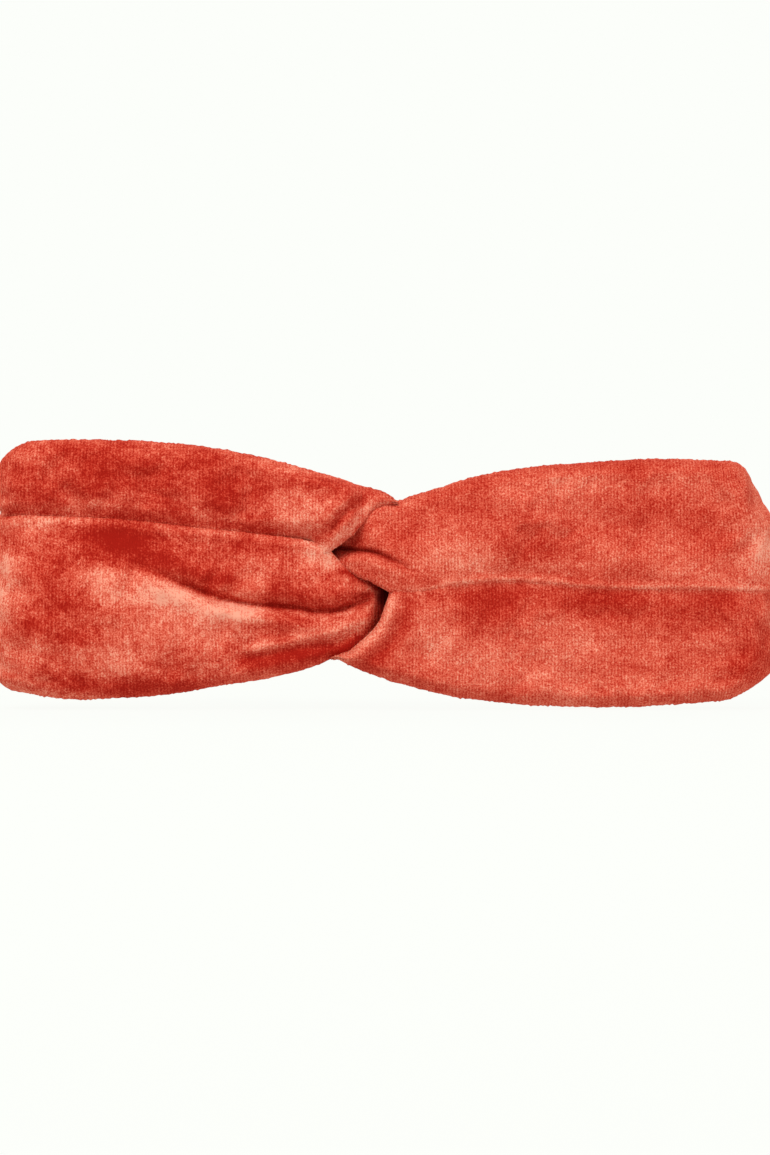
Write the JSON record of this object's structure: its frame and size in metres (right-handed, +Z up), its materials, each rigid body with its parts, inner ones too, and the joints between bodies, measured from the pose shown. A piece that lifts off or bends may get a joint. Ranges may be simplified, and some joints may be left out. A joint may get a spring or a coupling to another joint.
{
  "type": "spa headband",
  "caption": "Soft velour twist headband: two interlocked strip loops crossed at the front and a gathered elastic nape, lying pressed flat and opening to a ring.",
  "frame": {"origin": "middle of the band's length and depth, on the plane it stands on", "axes": "+Z up, X along the band with the left of the knot at -X, the knot faces -Y and the nape is at +Y"},
  "size_m": [0.24, 0.0416, 0.0826],
  "materials": {
    "left_strip_velour": "crushed knit velour, coral red",
    "right_strip_velour": "crushed knit velour, coral red",
    "casing_velour": "gathered knit velour, coral red",
    "sewing_thread": "polyester thread, matched red",
    "woven_elastic": "flat woven elastic, off-white"
  },
  "bodies": {
    "knot": {"left_loop_bend": "left_strip_velour", "right_loop_bend": "right_strip_velour", "knot_tack_stitches": "sewing_thread"},
    "left_front": {"left_upper_leg": "left_strip_velour", "left_lower_leg": "left_strip_velour", "left_front_seams": "sewing_thread"},
    "right_front": {"right_upper_leg": "right_strip_velour", "right_lower_leg": "right_strip_velour", "right_front_seams": "sewing_thread"},
    "left_end": {"left_upper_end": "left_strip_velour", "left_lower_end": "left_strip_velour"},
    "right_end": {"right_upper_end": "right_strip_velour", "right_lower_end": "right_strip_velour"},
    "left_back": {"left_upper_rear": "left_strip_velour", "left_lower_rear": "left_strip_velour", "left_rear_seams": "sewing_thread"},
    "right_back": {"right_upper_rear": "right_strip_velour", "right_lower_rear": "right_strip_velour", "right_rear_seams": "sewing_thread"},
    "nape": {"nape_casing": "casing_velour", "left_join_stitches": "sewing_thread"},
    "nape_right_end": {"casing_end": "casing_velour", "nape_elastic": "woven_elastic"},
    "right_join": {"casing_right_hem": "casing_velour", "right_join_stitches": "sewing_thread"}
  },
  "joints": [
    {"name": "left_flex", "type": "hinge", "parent": "knot", "child": "left_front", "pos_m": [-0.026, -0.004, 0.0415], "axis": [0, 0, -1], "range_deg": [0, 60]},
    {"name": "right_flex", "type": "hinge", "parent": "knot", "child": "right_front", "pos_m": [0.026, -0.004, 0.0415], "axis": [0, 0, 1], "range_deg": [0, 60]},
    {"name": "left_fold_front", "type": "hinge", "parent": "left_front", "child": "left_end", "pos_m": [-0.1159, -0.0119, 0.0415], "axis": [0, 0, 1], "range_deg": [0, 78.1]},
    {"name": "right_fold_front", "type": "hinge", "parent": "right_front", "child": "right_end", "pos_m": [0.1159, -0.0119, 0.0415], "axis": [0, 0, -1], "range_deg": [0, 78.1]},
    {"name": "left_fold_back", "type": "hinge", "parent": "left_end", "child": "left_back", "pos_m": [-0.1159, 0.0159, 0.0415], "axis": [0, 0, 1], "range_deg": [0, 52.3]},
    {"name": "right_fold_back", "type": "hinge", "parent": "right_end", "child": "right_back", "pos_m": [0.1159, 0.0159, 0.0415], "axis": [0, 0, -1], "range_deg": [0, 52.3]},
    {"name": "left_nape", "type": "hinge", "parent": "left_back", "child": "nape", "pos_m": [-0.048, 0.008, 0.0415], "axis": [0, 0, -1], "range_deg": [0, 70.3]},
    {"name": "right_nape", "type": "hinge", "parent": "right_back", "child": "right_join", "pos_m": [0.048, 0.008, 0.0415], "axis": [0, 0, 1], "range_deg": [0, 70.3]},
    {"name": "nape_stretch", "type": "slide", "parent": "nape", "child": "nape_right_end", "axis": [1, 0, 0], "range_m": [0, 0.0162]}
  ],
  "couplings": [
    {"joint": "right_flex", "follows": "left_flex", "ratio": 1},
    {"joint": "left_fold_front", "follows": "left_flex", "ratio": 1.3},
    {"joint": "right_fold_front", "follows": "left_flex", "ratio": 1.3},
    {"joint": "left_fold_back", "follows": "left_flex", "ratio": 0.87},
    {"joint": "right_fold_back", "follows": "left_flex", "ratio": 0.87},
    {"joint": "left_nape", "follows": "left_flex", "ratio": 1.17},
    {"joint": "right_nape", "follows": "left_flex", "ratio": 1.17},
    {"joint": "nape_stretch", "follows": "left_flex", "m_per_rad": 0.0154}
  ]
}
